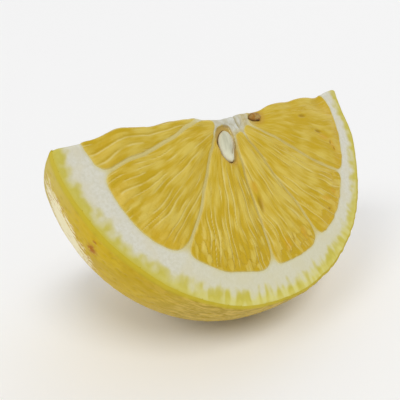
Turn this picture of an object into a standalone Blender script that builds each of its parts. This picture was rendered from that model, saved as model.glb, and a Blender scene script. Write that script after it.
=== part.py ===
"""A wedge of lemon with its rind on: a quarter of the fruit, lying on its peel.

The fruit was cut across at its widest, and the stem half was then cut lengthwise through the
core. The two cut faces meet along a level ridge on top, parallel to X. The cross cut faces -Y
and up, and shows the segments as a fan. The long cut faces +Y and up, and holds the core.

The wedge is made in the fruit's own frame (across, down, back): across runs along the ridge,
down runs in the cross cut from the ridge to the rim, and back runs square to the cross cut
towards the stem. Metres, +Z up, origin under the middle of the wedge.
"""

import math

import bmesh
import bpy
from mathutils import Matrix, Vector

MM = 0.001

# The fruit
RADIUS = 30.0 * MM                # at its widest, where it is cut across
STEM_REACH = 33.0 * MM            # from the cross cut to the stem end
FULLNESS = 0.06                   # how far the sides swell before they close on the stem
BLUNTNESS = 0.60                  # 0.5 closes like a ball, 1.0 like a pointed tip
CORE_LEAN = 0.245                 # slope of the core towards the rim's lowest point
CORE_SKEW = 0.055                 # slope of the core along the ridge

# The rim isn't quite round: (waves in a full turn, cosine part, sine part), of the radius
RIM_MEAN = 0.990
RIM_WAVES = ((1, -0.0110, 0.0190), (2, 0.0030, -0.0010), (3, -0.0013, 0.0075))

# Low lumps of the peel at the rim: (degrees from the ridge's +X end, half width, height),
# the heights of the radius. They fade out behind the cross cut.
RIM_LUMPS = (
    (8.0, 5.5, -0.009),
    (18.0, 5.5, 0.011),
    (33.0, 8.0, -0.008),
    (54.0, 9.0, 0.005),
    (81.0, 5.0, -0.007),
    (114.0, 8.0, 0.006),
    (146.0, 7.0, -0.005),
    (172.0, 6.0, 0.005),
)
LUMP_REACH = 12.0 * MM            # how far behind the cross cut a lump fades out

# The stem end
STEM_DIMPLE_RADIUS = 2.6 * MM
STEM_DIMPLE_DEPTH = 0.9 * MM
STEM_DIMPLE_START = 0.8           # of the way back, where the dimple may begin
STEM_FURROWS = 9                  # shallow furrows that run out from the stem, in a full turn
FURROW_DEPTH = 0.012              # of the distance to the core
FURROW_START = 0.45               # of the way back, where the furrows begin

# The cut faces
FLESH_RADIUS = 0.85               # outer end of the flesh, of the rim's radius
CORE_RADIUS = 0.10                # white core, of the rim's radius
MEMBRANE_ANGLES = (37.0, 71.5, 99.0, 134.0, 170.0, 206.0)   # degrees from the ridge's +X end
SEGMENT_SWELL = 0.55 * MM         # how far a cut segment bulges from the plane of the cut
MEMBRANE_HALF_WIDTH = 0.9 * MM    # from the middle of a membrane to the full swell
RIND_EDGE_WIDTH = 0.05            # width of the step from rind or core to flesh, likewise

# The ridge isn't quite straight: (place along the ridge, half width, height), of the radius
RIDGE_SWELLS = (
    (-0.66, 0.11, 0.029),
    (-0.38, 0.17, 0.013),
    (-0.02, 0.17, -0.037),
    (0.21, 0.09, -0.022),
    (0.54, 0.18, -0.004),
    (0.76, 0.09, -0.026),
)
RIDGE_REACH = 4.0 * MM            # how far down each face a swell of the ridge fades out
RIDGE_ENDS = (0.85, 0.97)         # of the radius, between which the swells fade to the peel

# How it lies
CROSS_CUT_RISE = math.radians(36.3)    # the cross cut's outward normal, above level
FOOT_DEPTH = 0.28 * MM            # peel pressed flat where the wedge rests

# Mesh
FAN_STEPS = 90                    # across the cross cut, from one end of the ridge to the other
BACK_STEPS = 24                   # from the cross cut back to the stem
RINGS = (                         # from the middle of the ridge out to the peel
    0.0, 0.05, 0.10, 0.15, 0.22, 0.30, 0.38, 0.46, 0.54, 0.62, 0.70, 0.75, 0.80, 0.85, 0.92, 1.0,
)
JOIN_DISTANCE = 0.000001          # edges shared by two patches are made at the same points
SHARP_ANGLE = math.radians(40.0)  # edges that turn more than this stay crisp

PEEL_COLOUR = (0.565, 0.392, 0.046, 1.0)


def clear_scene():
    """Remove every object that the file opened with."""
    for item in list(bpy.data.objects):
        bpy.data.objects.remove(item, do_unlink=True)


def smooth_step(value, start, end):
    """0 before start, 1 after end, and an even curve between them."""
    part = min(max((value - start) / (end - start), 0.0), 1.0)
    return part * part * (3.0 - 2.0 * part)


def outline_radius(angle, back=0.0):
    """Distance from the core to the peel before the fruit closes on the stem."""
    waves = sum(c * math.cos(n * angle) + s * math.sin(n * angle) for n, c, s in RIM_WAVES)
    degrees = math.degrees(angle)
    lumps = sum(h * math.exp(-(((degrees - x) / w) ** 2)) for x, w, h in RIM_LUMPS)
    return RADIUS * (RIM_MEAN + waves + lumps * math.exp(-((back / LUMP_REACH) ** 2)))


def girth(back):
    """Size of the fruit at a distance behind the cross cut, of its size at the cut."""
    part = min(back / STEM_REACH, 1.0)
    swell = 1.0 + FULLNESS * (back / RADIUS) * (1.0 - part)
    return swell * (1.0 - part * part) ** BLUNTNESS


def furrow(angle, back):
    """Shallow furrows round the stem, as a change in the distance to the core."""
    fade = smooth_step(back / STEM_REACH, FURROW_START, 1.0)
    return 1.0 - FURROW_DEPTH * fade * (1.0 + math.cos(STEM_FURROWS * angle))


def peel_point(angle, back):
    """A point of the peel, in the fruit's frame."""
    radius = outline_radius(angle, back) * girth(back) * furrow(angle, back)
    dimple = STEM_DIMPLE_DEPTH * math.exp(-((radius / STEM_DIMPLE_RADIUS) ** 2))
    depth = back - dimple * smooth_step(back / STEM_REACH, STEM_DIMPLE_START, 1.0)
    across = radius * math.cos(angle) + CORE_SKEW * depth
    down = radius * math.sin(angle) + CORE_LEAN * depth
    return Vector((across, down, depth))


def long_cut_down():
    """Direction in the long cut, square to the ridge and towards the stem."""
    return Vector((0.0, CORE_LEAN, 1.0)).normalized()


def to_world():
    """Rotation from the fruit's frame to the world: columns are across, down and back."""
    lean = CROSS_CUT_RISE
    across = Vector((1.0, 0.0, 0.0))
    down = Vector((0.0, -math.sin(lean), -math.cos(lean)))
    back = Vector((0.0, math.cos(lean), -math.sin(lean)))
    return Matrix((across, down, back)).transposed()


def ridge_lift(across, distance):
    """Height that the uneven ridge adds at a place this far down either face."""
    place = across / RADIUS
    height = sum(h * math.exp(-(((place - x) / w) ** 2)) for x, w, h in RIDGE_SWELLS)
    ends = 1.0 - smooth_step(abs(place), *RIDGE_ENDS)
    return RADIUS * height * ends * math.exp(-((distance / RIDGE_REACH) ** 2))


def membrane_gap(angle, radius):
    """Distance to the nearest membrane of the cross cut."""
    degrees = math.degrees(angle)
    nearest = min(abs(degrees - each) for each in MEMBRANE_ANGLES)
    return radius * math.sin(math.radians(min(nearest, 90.0)))


def flesh_share(part):
    """1 over the flesh, 0 on the core and the rind. Part is the distance out, of the rim's."""
    inner = smooth_step(part, CORE_RADIUS, CORE_RADIUS + RIND_EDGE_WIDTH)
    outer = smooth_step(part, FLESH_RADIUS - RIND_EDGE_WIDTH, FLESH_RADIUS)
    return inner * (1.0 - outer)


def cross_cut_swell(angle, radius, part):
    """How far the segments bulge from the cross cut, with a furrow along each membrane."""
    full = smooth_step(membrane_gap(angle, radius), 0.0, MEMBRANE_HALF_WIDTH)
    ridge = smooth_step(radius * math.sin(angle), 0.0, RIDGE_REACH)
    return SEGMENT_SWELL * flesh_share(part) * full * ridge


def long_cut_swell(place, part):
    """How far the two halves of flesh bulge from the long cut, either side of the core."""
    core_gap = abs(place.x - CORE_SKEW * place.z) - CORE_RADIUS * RADIUS
    full = smooth_step(core_gap, 0.0, 2.0 * MEMBRANE_HALF_WIDTH)
    ridge = smooth_step(place.z, 0.0, RIDGE_REACH)
    return SEGMENT_SWELL * flesh_share(part) * full * ridge


def cross_cut_point(angle, part, up):
    """A point of the cross cut. Part is the distance out from the core, of the rim's."""
    radius = part * outline_radius(angle)
    place = Vector((radius * math.cos(angle), radius * math.sin(angle), 0.0))
    place += up * ridge_lift(place.x, place.y)
    place.z -= cross_cut_swell(angle, radius, part)
    return place


def long_cut_point(edge, part, up):
    """A point of the long cut, on the line from the middle of the ridge to an edge point."""
    flat = edge * part
    distance = math.hypot(flat.y, flat.z)
    outward = long_cut_down().cross(Vector((1.0, 0.0, 0.0)))
    outward *= math.copysign(1.0, outward.z)
    place = flat + up * ridge_lift(flat.x, distance)
    return place + outward * long_cut_swell(flat, part)


def back_stops():
    """Distances behind the cross cut, closer together towards the stem."""
    quarter = math.pi / 2.0
    return [STEM_REACH * math.sin(quarter * i / BACK_STEPS) for i in range(BACK_STEPS + 1)]


def add_patch(mesh, rows):
    """Fill a grid of points with four-sided faces."""
    grid = [[mesh.verts.new(point) for point in row] for row in rows]
    for lower, upper in zip(grid, grid[1:]):
        for i in range(len(lower) - 1):
            mesh.faces.new((lower[i], lower[i + 1], upper[i + 1], upper[i]))


def add_cross_cut(mesh, up):
    """The face that shows the segments, as rings round the middle of the ridge."""
    angles = [math.pi * i / FAN_STEPS for i in range(FAN_STEPS + 1)]
    add_patch(mesh, [[cross_cut_point(a, p, up) for a in angles] for p in RINGS])


def add_long_cut(mesh, up):
    """The lengthwise face, from the ridge's +X end round the stem to its -X end."""
    stops = back_stops()
    edges = [peel_point(0.0, back) for back in stops]
    edges += [peel_point(math.pi, back) for back in reversed(stops[:-1])]
    add_patch(mesh, [[long_cut_point(e, p, up) for e in edges] for p in RINGS])


def add_peel(mesh):
    """The outer skin, from the rim of the cross cut back to the stem."""
    angles = [math.pi * i / FAN_STEPS for i in range(FAN_STEPS + 1)]
    add_patch(mesh, [[peel_point(a, back) for a in angles] for back in back_stops()])


def weld(mesh):
    """Join the patches into one closed skin that faces outwards."""
    bmesh.ops.remove_doubles(mesh, verts=mesh.verts, dist=JOIN_DISTANCE)
    bmesh.ops.dissolve_degenerate(mesh, edges=mesh.edges, dist=JOIN_DISTANCE)
    bmesh.ops.recalc_face_normals(mesh, faces=mesh.faces)


def press_foot(mesh):
    """Cut the lowest part of the peel off level, so that the wedge rests on a small flat spot."""
    level = min(vert.co.z for vert in mesh.verts) + FOOT_DEPTH
    everything = mesh.verts[:] + mesh.edges[:] + mesh.faces[:]
    bmesh.ops.bisect_plane(
        mesh, geom=everything, dist=JOIN_DISTANCE,
        plane_co=(0.0, 0.0, level), plane_no=(0.0, 0.0, -1.0), clear_outer=True,
    )
    hole = [edge for edge in mesh.edges if edge.is_boundary]
    bmesh.ops.holes_fill(mesh, edges=hole, sides=0)
    bmesh.ops.recalc_face_normals(mesh, faces=mesh.faces)


def centre_on_floor(mesh):
    """Move the wedge so that the origin is under the middle of its box."""
    lows = [min(vert.co[i] for vert in mesh.verts) for i in range(3)]
    highs = [max(vert.co[i] for vert in mesh.verts) for i in range(3)]
    middle = Vector(((lows[0] + highs[0]) / 2.0, (lows[1] + highs[1]) / 2.0, lows[2]))
    bmesh.ops.translate(mesh, verts=mesh.verts, vec=-middle)


def lemon_material():
    """Yellow, slightly waxy skin."""
    material = bpy.data.materials.new("lemon")
    material.use_nodes = True
    shader = material.node_tree.nodes["Principled BSDF"]
    shader.inputs["Base Color"].default_value = PEEL_COLOUR
    shader.inputs["Roughness"].default_value = 0.5
    shader.inputs["Metallic"].default_value = 0.0
    return material


def build_wedge():
    """Model the wedge as one closed solid, and turn it to lie on its peel."""
    turn = to_world()
    up = turn.transposed() @ Vector((0.0, 0.0, 1.0))
    mesh = bmesh.new()
    add_cross_cut(mesh, up)
    add_long_cut(mesh, up)
    add_peel(mesh)
    weld(mesh)
    mesh.transform(turn.to_4x4())
    press_foot(mesh)
    centre_on_floor(mesh)
    data = bpy.data.meshes.new("lemon_wedge")
    mesh.to_mesh(data)
    mesh.free()
    data.materials.append(lemon_material())
    data.shade_smooth()
    data.set_sharp_from_angle(angle=SHARP_ANGLE)
    wedge = bpy.data.objects.new("lemon_wedge", data)
    bpy.context.scene.collection.objects.link(wedge)


clear_scene()
build_wedge()
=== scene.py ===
"""Looks of the lemon wedge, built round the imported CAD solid. +Z up.

Lengths are in millimetres until a mesh is made, apart from those given as parts of the radius.

The cut faces are drawn on one flat chart and folded along the ridge: x runs along the ridge, y runs
down the cross cut where it is positive, and down the long cut where it is negative. The peel has a
chart of its own, with the stem in the middle and the rim of the cross cut as the outer edge.
"""

import math
from functools import partialmethod

import bpy
import numpy as np
from mathutils import Matrix, Vector, noise
from mathutils.geometry import delaunay_2d_cdt


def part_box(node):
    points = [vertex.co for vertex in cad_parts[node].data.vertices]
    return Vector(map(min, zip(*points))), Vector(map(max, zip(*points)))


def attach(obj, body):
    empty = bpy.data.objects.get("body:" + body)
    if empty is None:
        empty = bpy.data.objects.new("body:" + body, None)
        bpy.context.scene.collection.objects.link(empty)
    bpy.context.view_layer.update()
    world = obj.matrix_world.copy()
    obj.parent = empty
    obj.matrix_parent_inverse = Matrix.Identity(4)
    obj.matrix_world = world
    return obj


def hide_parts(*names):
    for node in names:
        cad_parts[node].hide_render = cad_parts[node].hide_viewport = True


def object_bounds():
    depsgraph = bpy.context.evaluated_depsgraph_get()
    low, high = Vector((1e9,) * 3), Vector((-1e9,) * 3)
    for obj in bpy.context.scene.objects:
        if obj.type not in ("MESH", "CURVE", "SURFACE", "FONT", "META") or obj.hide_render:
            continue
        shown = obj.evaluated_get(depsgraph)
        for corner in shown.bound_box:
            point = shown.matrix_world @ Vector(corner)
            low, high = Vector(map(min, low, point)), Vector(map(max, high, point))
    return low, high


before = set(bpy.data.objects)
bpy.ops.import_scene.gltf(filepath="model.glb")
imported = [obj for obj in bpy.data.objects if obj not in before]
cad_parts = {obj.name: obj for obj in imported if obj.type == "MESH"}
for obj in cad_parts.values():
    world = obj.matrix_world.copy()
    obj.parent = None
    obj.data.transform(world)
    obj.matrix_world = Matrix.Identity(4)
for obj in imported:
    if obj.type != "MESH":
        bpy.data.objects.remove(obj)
CAD_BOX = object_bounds()

MM = 0.001  # a millimetre in metres

# The fruit, as in the CAD solid
RADIUS = 30
STEM_REACH = 33
FULLNESS = 0.06  # how much the fruit swells behind the cut
BLUNTNESS = 0.6  # of its end at the stem, less is blunter
CORE_LEAN = 0.245  # how far down the core goes for each step back
CORE_SKEW = 0.055  # how far across it goes for each step back
RIM_MEAN = 0.99
# Waves of the rim: how many, and their cosine and sine parts
RIM_WAVES = ((1, -0.011, 0.019), (2, 0.003, -0.001), (3, -0.0013, 0.0075))
RIM_LUMPS = (  # place and width in degrees, height
    (8, 5.5, -0.009), (18, 5.5, 0.011), (33, 8, -0.008), (54, 9, 0.005),
    (81, 5, -0.007), (114, 8, 0.006), (146, 7, -0.005), (172, 6, 0.005),
)
LUMP_REACH = 12
STEM_DIMPLE_RADIUS = 2.6
STEM_DIMPLE_DEPTH = 0.9
STEM_FURROWS = 9
FURROW_DEPTH = 0.012
FURROW_START = 0.45
RIDGE_SWELLS = (  # place, width and height, of the radius
    (-0.66, 0.11, 0.029), (-0.38, 0.17, 0.013), (-0.02, 0.17, -0.037), (0.21, 0.09, -0.022),
    (0.54, 0.18, -0.004), (0.76, 0.09, -0.026),
)
RIDGE_REACH = 4
CROSS_CUT_RISE = math.radians(36.3)
FOOT_DEPTH = 0.28  # how much of the peel is cut away for the flat spot below

# Edges
RIDGE_ROUND = 0.3  # radius of the edge where the two cut faces meet
RIM_ROUND = 0.5  # radius of the edge between the peel and a cut face
RIM_LAP = 0.16  # overlap of the cut face and the peel
RIM_COVER = 0.012  # how far the cut face stands over the peel where they overlap
RIM_TUCK = 0.045  # how far its very edge dips, so that it ends in the peel
RIM_TUCK_WIDTH = 0.08
CREST = 0.19  # height of the ridge above the CAD solid's
CREST_WIDTH = 1.3
CREST_SWELLS = (  # further height of the ridge: place and width of the radius, height
    (-0.45, 0.05, -0.06), (-0.225, 0.03, 0.2), (-0.03, 0.18, 0.24),
    (0.275, 0.05, -0.26), (0.5, 0.06, -0.3), (0.73, 0.06, 0.18),
    (0.96, 0.05, 0.1),
)
CORNER_TRIM = 0.004  # how far the -X end of the ridge is rounded off, of the radius
CORNER_TURN = 1.8  # degrees
CORNER_BACK = 1.5
RIM_SWELLS = (  # fullness of the rim itself, as for the lumps above
    (32, 12, 0.008), (80, 10, 0.007), (60, 60, 0.006),
)
RIM_BUMPS = ((61, 0.4, 0.0016), (97, 2.1, 0.0012), (143, 5, 0.0008))
BUMPY_RIM = (62, 24)  # the middle and the spread of the bumpiest part, in degrees
BUMP_BACK = 2

# Width of the rind: (degrees round the cross cut, width), and what the stem end adds to it
RIND_WIDTHS = (
    (0, 4.8), (3, 4), (7, 3.4), (11, 3.55), (17, 4.15), (30, 4.25), (36, 4.7),
    (44, 4.4), (60, 4.3), (68, 4.8), (82, 4.85), (95, 5.2), (110, 4.9),
    (132, 5.15), (146, 4.4), (153, 4.7), (163, 4.95), (170, 5.35), (175, 5),
    (180, 4.2),
)
STEM_RIND = 3.2
# Membranes of the cross cut: half width, and at each of these distances the degrees round the hub
# and the paleness, 1 for the palest
MEMBRANE_STOPS = (0.1, 0.18, 0.25, 0.4, 0.6, 0.8)
MEMBRANES = (
    (0.1, (22, 29.5, 34.4, 38, 38.1, 37.2), (1, 0.95, 0.8, 0.62, 0.62, 0.85)),
    (0.07, (55, 67, 68.6, 71.2, 70.3, 71.4), (0.9, 0.42, 0.4, 0.5, 0.62, 0.85)),
    (0.06, (93, 98.5, 99.6, 100.6, 98.4, 99), (0.9, 0.6, 0.6, 0.28, 0.62, 0.85)),
    (0.1, (162, 144.5, 140, 136, 133.9, 133.9), (0.9, 0.6, 0.65, 0.7, 0.85, 0.95)),
    (0.11, (184, 179.5, 174.5, 169.8, 168.5, 169.2), (0.9, 0.9, 0.9, 0.85, 0.85, 0.95)),
)
SEGMENT_STARTS = (0.145, 0.115, 0.095, 0.036, 0.105, 0.2)  # inner ends, of the radius
SEGMENT_CENTRES = (  # a place inside each segment, of the radius
    (0.52, -0.1), (0.35, 0.48), (0.02, 0.52), (-0.28, 0.5), (-0.52, 0.34), (-0.5, -0.2),
)
CORE_STOPS = (0, 0.16, 0.45, 1)  # down the long cut, of its length
CORE_HALF_WIDTHS = (0.065, 0.045, 0.075)  # at all but the first of these
SEGMENT_CORNERS = (  # rounding of a segment's two outer corners
    (2.6, 1.3), (1.2, 1.8), (3.4, 2.2), (2.8, 1.5), (3.2, 1.6), (2, 2.6),
)
TIP_ROUND = 0.9
RIND_SINK = 0.05  # how far the rind lies below its rim
MEMBRANE_RISE = 0.03  # how far a pale membrane stands up, and how much lower a dark one is
MEMBRANE_DIP = 0.11
UNDER_FLESH = 0.2  # how far the rind dips where the flesh covers it

# Relief of the flesh
FLESH_SINK = 0.16  # how far the edge of the flesh lies below the rind's surface
FLESH_LEVEL = 0.16  # flesh above the rind's surface, just inside its edge
FLESH_SWELL = 0.34  # further rise towards the middle of a segment
SHOULDER = 0.6  # width of the rounded edge of the flesh
SAC_BULGE = 0.15
SAC_WALL = 0.05  # how far the thin walls between the sacs stand up
SAC_WIDTH = 1.15  # of a juice sac at the distance SAC_SPREAD from the core
SAC_SPREAD = 7
SAC_FORKS = ((7.5, 11.5), (15, 20))  # where every sac gives way to two
SAC_LENGTH = 3.4
SAC_LEANS = (0, 0.4, 0.4, 0.4, -0.15, 0)  # how the sacs turn aside, for each segment
SEGMENT_SHADES = (-0.16, 0.02, 0.05, -0.12, -0.04, 0)  # less is darker
SAC_STRENGTH = (0.45, 0.8, 0.85, 1, 0.85, 0.9)  # contrast of the sacs
MOTTLING = (0.1, 0.6, 0.9, 1, 0.35, 0.15)  # of each outer end, by blunt sac ends
FAN_SHIFT = 0.35  # in the long cut the sacs fan out from beyond the core
SLOW_SWELL = 0.12  # slow unevenness of the flesh
SHADE_RISE = 0.12  # how far the paler sacs stand up
FLANK_DIP = 0.05  # how far the flesh dips beside a wall
RIPPLE_RISE = 0.06
GRAIN_RISE = 0.08  # of the blunt sac ends, and the dips between them
GRAIN_DIP = 0.05
PIT_DEPTH = 0.16

# Seeds and the hollow of the cut one, as outlines on the chart
KERNEL = (
    (-1.67, 1.88), (-2.2, 2.03), (-2.78, 2.42), (-3.33, 2.98), (-3.8, 3.64), (-4.16, 4.4),
    (-4.39, 5.35), (-4.4, 6.35), (-4.15, 7.05), (-3.75, 7.55), (-3.22, 7.8), (-2.7, 7.6),
    (-2.33, 7.1), (-1.95, 6.4), (-1.42, 5.62), (-0.97, 4.76), (-0.8, 3.95), (-0.82, 3.2),
    (-1.05, 2.35),
)
HOLLOW = (
    (-2.89, 1.16), (-1.97, 0.83), (-0.88, 0.84), (-0.15, 1.41), (-0.11, 2.8), (-0.42, 4.31),
    (-1.1, 6.1), (-2.2, 7.75), (-3.2, 8.15), (-4.2, 7.85), (-4.78, 6.8), (-4.8, 5.3),
    (-4.55, 3.95), (-3.95, 2.5), (-3.37, 1.66),
)
SMALL_SEED = (
    (4.3, 0.95), (4.78, 0.42), (5.7, 0.13), (6.8, 0.42), (7.18, 1.1), (6.62, 1.9),
    (5.75, 1.72), (4.95, 1.45),
)
HOLLOW_DEPTH = 0.34  # of the cut seed's place
HOLLOW_SLOPE = 0.26
CREASE = ((-1.05, 4.3), (-2.05, 5.7), (-2.75, 6.45))  # along the kernel's lower side
CORE_CREASES = (  # outline of each crease in the white core, its width and its depth
    (((1.35, -0.4), (1.5, 0.9), (1.75, 2.05)), 0.34, 0.34),
    (((-0.9, 0.2), (-0.2, 0.9), (0.6, 1.25)), 0.2, 0.12),
    (((0.75, 1.3), (0.95, 2.4), (0.85, 3)), 0.18, 0.12),
    (((2.3, 0.2), (2.55, 0.9), (2.2, 1.8)), 0.2, 0.14),
)
# how far the seed coat reaches past the kernel; its dark rim is partly the coat and partly painted
# shadow
COAT = 0.1
SEED_DENT = 0.2  # depth under the small seed
SEED_CREASE = 0.28  # width of the kernel's crease

# Small marks in the flesh: place on the chart, turn in degrees, length and width
PITS = (
    (16.4, 3.5, 10, 1.9, 0.75), (18.9, 7, 22, 1.9, 0.7), (20.7, 9.6, 120, 0.9, 0.45),
    (21, 10.9, 60, 0.8, 0.4), (-1.45, 15.4, 100, 3, 0.85), (12.9, 20.4, 20, 0.9, 0.35),
    (1.9, 22, 95, 1.6, 0.3),
)
AMBER_PATCHES = (
    (13, 18.5, 22, 2.4, 1), (20.9, 10.2, 80, 2.6, 1.4), (19.6, 8.3, 20, 3, 1.2),
    (-1.3, 12.6, 95, 2.4, 1.2), (4.6, 22, 80, 2.4, 1.5), (0.2, 22.6, 100, 2.4, 1.4),
    (15.6, 17.8, 60, 1.8, 1),
)
# Marks on the peel, likewise, with their place as along the rim and back from it
BLEMISHES = (
    (82.5, 3.8, 10, 1.9, 2.3), (82.5, 1.7, 30, 0.9, 0.6),
)
# painted highlight: pale cream glare on the waxy peel's left side, painted into its colour
PAINTED_HIGHLIGHT = (87.2, 7.6, -31, 15.5, 7.6)

# Peel
PORE_SPACING = 1.05
PORE_DEPTH = 0.08
PEEL_LUMPS = 0.06

# Mesh spacing, and how far behind its skin the plain back of each piece lies
FLESH_STEP = 0.135
RIND_STEP = 0.22
PEEL_STEP = 0.3
SEED_STEP = 0.1
COARSE_STEP = 1.6
LONG_OUTLINE = 760  # points round a segment that runs over the ridge
SHORT_OUTLINE = 560  # and round one that doesn't
SEGMENT_DEPTH = 1.2
RIND_DEPTH = 2.5
SEED_DEPTH = 0.9
PEEL_DEPTH = 0.5

# Camera and light
CAMERA_AZIMUTH = -41.8  # degrees, as in the views of the part
CAMERA_RISE = 23.1
CAMERA_DISTANCE = 76.95
CAMERA_VIEW = math.radians(45)
AIM_FROM_CORE = (-5.74, -13.07)  # how far right of and above the core the view is aimed
CORE_PLACE = (0.0456, 0.0388)  # middle of the white core on the chart, of the radius
SUNS = (  # azimuth and rise as the camera's, strength, and softness in degrees
    ("key", -20, 55, 1.09, 25),
    ("side", -85, 40, 0.75, 25),
    ("fill", 112, 22, 0.45, 60),
)
WORLD_LIGHT = 0.5
BUMP_STRENGTH = 0.4
FLOOR_HALF = 6  # metres
FLOOR_COLOUR = (0.92, 0.92, 0.92, 1)


# ---- curves and points

def ease(value, start, end):
    """0 before start, 1 after end, and an even curve between them."""
    part = np.clip((value - start) / (end - start), 0, 1)
    return part * part * (3 - 2 * part)


def fade(value, start, end):
    """1 before start, 0 after end, and an even curve between them."""
    return 1 - ease(value, start, end)


def dome(value):
    """A quarter circle's rise from 0 to 1 as the value goes from 0 to 1."""
    return np.sqrt(1 - (1 - np.clip(value, 0, 1)) ** 2)


def bell(distance):
    """1 at no distance, falling to 0 on both sides."""
    return np.exp(-(distance ** 2))


def hills(place, table):
    """The sum of some bells, each given by its middle, its width and its height."""
    return sum(height * bell((place - middle) / width) for middle, width, height in table)


def rays(angle):
    """Places at these angles, one unit from the middle."""
    return np.column_stack((np.cos(angle), np.sin(angle)))


def lay(*columns):
    """Points in space that lie flat, from a chart or from two rows of numbers."""
    return np.column_stack(columns + (np.zeros(len(columns[0])),))


# ---- shape of the fruit

def rim_detail(angle, back):
    """Rounded end of the ridge and small bumps of the rim, as a change of the outline."""
    degrees = np.degrees(angle)
    bumps = sum(height * np.sin(waves * angle + phase) for waves, phase, height in RIM_BUMPS)
    middle, spread = BUMPY_RIM
    rough = 0.25 + 0.75 * bell((degrees - middle) / spread)
    trim = CORNER_TRIM * bell((degrees - 180) / CORNER_TURN) * bell(back / CORNER_BACK)
    return (bumps * rough + hills(degrees, RIM_SWELLS)) * bell(back / BUMP_BACK) - trim


def outline_radius(angle, back, detail=1):
    """Distance from the core to the peel before the fruit closes on the stem."""
    waves = sum(c * np.cos(n * angle) + s * np.sin(n * angle) for n, c, s in RIM_WAVES)
    lumps = hills(np.degrees(angle), RIM_LUMPS) * bell(back / LUMP_REACH)
    return RADIUS * (RIM_MEAN + waves + lumps + detail * rim_detail(angle, back))


def girth(back):
    """Size of the fruit at a distance behind the cross cut, of its size at the cut."""
    part = np.clip(back / STEM_REACH, 0, 1)
    swell = 1 + FULLNESS * (back / RADIUS) * (1 - part)
    return swell * (1 - part * part) ** BLUNTNESS


def furrow(angle, back):
    """Shallow furrows round the stem, as a change in the distance to the core."""
    share = ease(back / STEM_REACH, FURROW_START, 1)
    return 1 - FURROW_DEPTH * share * (1 + np.cos(STEM_FURROWS * angle))


def peel_place(angle, back, inset=0, detail=1):
    """Points of the peel, or inset from it, in the fruit's frame (across, down, back)."""
    radius = outline_radius(angle, back, detail) * girth(back) * furrow(angle, back)
    dimple = STEM_DIMPLE_DEPTH * bell(radius / STEM_DIMPLE_RADIUS)
    depth = back - dimple * ease(back / STEM_REACH, 0.8, 1)
    radius = radius - np.minimum(inset, radius)
    across = radius * np.cos(angle) + CORE_SKEW * depth
    down = radius * np.sin(angle) + CORE_LEAN * depth
    return np.stack(np.broadcast_arrays(across, down, depth), axis=-1)


def ridge_lift(across, distance):
    """Height that the uneven ridge adds at a place this far down either face."""
    place = across / RADIUS
    ends = fade(np.abs(place), 0.85, 0.97)
    return RADIUS * hills(place, RIDGE_SWELLS) * ends * bell(distance / RIDGE_REACH)


def turn_to_world():
    """Rotation from the fruit's frame to the world: columns are across, down and back."""
    lean = CROSS_CUT_RISE
    across = (1, 0, 0)
    down = (0, -math.sin(lean), -math.cos(lean))
    back = (0, math.cos(lean), -math.sin(lean))
    return np.array((across, down, back)).T


TURN = turn_to_world()
UP_IN_FRUIT = TURN.T @ np.array((0, 0, 1))
LONG_SLOPE = math.hypot(1, CORE_LEAN)
LONG_DOWN = np.array((CORE_LEAN, 1)) / LONG_SLOPE  # (down, back) of a step down the long cut


def back_stops(count):
    """Distances behind the cross cut, closer together towards the stem."""
    return STEM_REACH * np.sin(np.linspace(0, math.pi / 2, count))


def hub_in_world():
    """Where the middle of the ridge is, from the CAD solid's box."""
    low, high = (np.array(corner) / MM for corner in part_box("lemon_wedge"))
    angle, back = np.meshgrid(np.linspace(0, math.pi, 181), back_stops(61))
    skin = peel_place(angle.ravel(), back.ravel(), detail=0) @ TURN.T
    shift = (low + high) / 2 - (skin.min(0) + skin.max(0)) / 2
    shift[2] = low[2] - skin[:, 2].min() - FOOT_DEPTH
    return shift


HUB = hub_in_world()


def to_world(points):
    """Fruit's frame to world."""
    return points @ TURN.T + HUB


# ---- noise

def perlin(points, scale, seed=0):
    """Smooth noise from -1 to 1 at each point. Scale is the size of a wave."""
    scaled = points / scale + seed
    return np.array([noise.noise(Vector(each)) for each in scaled.tolist()])


def cells(points, seed=0):
    """Distances to the nearest two of some scattered cells, and a number from 0 to 1 for the nearest."""
    near, far, number = np.empty((3, len(points)))
    for i, each in enumerate((points + seed).tolist()):
        distances, centres = noise.voronoi(Vector(each))
        near[i], far[i] = distances[:2]
        number[i] = noise.cell(centres[0] * 7.31)
    return near, far, number


# ---- chart of the cut faces

def crest(across, down):
    """Height of the ridge above the CAD solid's, fading down both faces."""
    place = across / RADIUS
    ends = fade(np.abs(place), 0.95, 1)
    return (CREST + hills(place, CREST_SWELLS)) * ends * bell(down / CREST_WIDTH)


def fold(chart, height):
    """Points on the cut faces, raised from them by height, in the world."""
    x, y = chart[:, 0], chart[:, 1]
    opening = math.acos(LONG_DOWN[0])
    tangent = RIDGE_ROUND / math.tan(opening / 2)
    start = math.atan2(LONG_DOWN[0], -LONG_DOWN[1])
    turn = start + np.clip((y + tangent) / (2 * tangent), 0, 1) * (math.pi - opening)
    normal = rays(turn)
    edge = np.array((tangent, RIDGE_ROUND)) + RIDGE_ROUND * normal
    cross = np.stack((y, np.zeros_like(y)), axis=-1)
    long = -y[:, None] * LONG_DOWN
    flat = np.where((y > tangent)[:, None], cross, np.where((y < -tangent)[:, None], long, edge))
    flat = flat + (height + crest(x, y))[:, None] * normal
    place = np.column_stack((x, flat)) + ridge_lift(x, np.abs(y))[:, None] * UP_IN_FRUIT
    return to_world(place)


def edge_loop(inset, step):
    """The outline of both cut faces on the chart: the rim of the cross cut, then the long cut."""
    angle = np.linspace(0, math.pi, int(math.pi * RADIUS / step))
    rim = (outline_radius(angle, 0) - inset)[:, None] * rays(angle)
    back = back_stops(int(1.5 * STEM_REACH / step))
    left = peel_place(math.pi, back, inset)[1:]
    right = peel_place(0, back[::-1], inset)[1:-1]
    sides = np.vstack((left, right))
    return np.vstack((rim, np.column_stack((sides[:, 0], -sides[:, 2] * LONG_SLOPE))))


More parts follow.
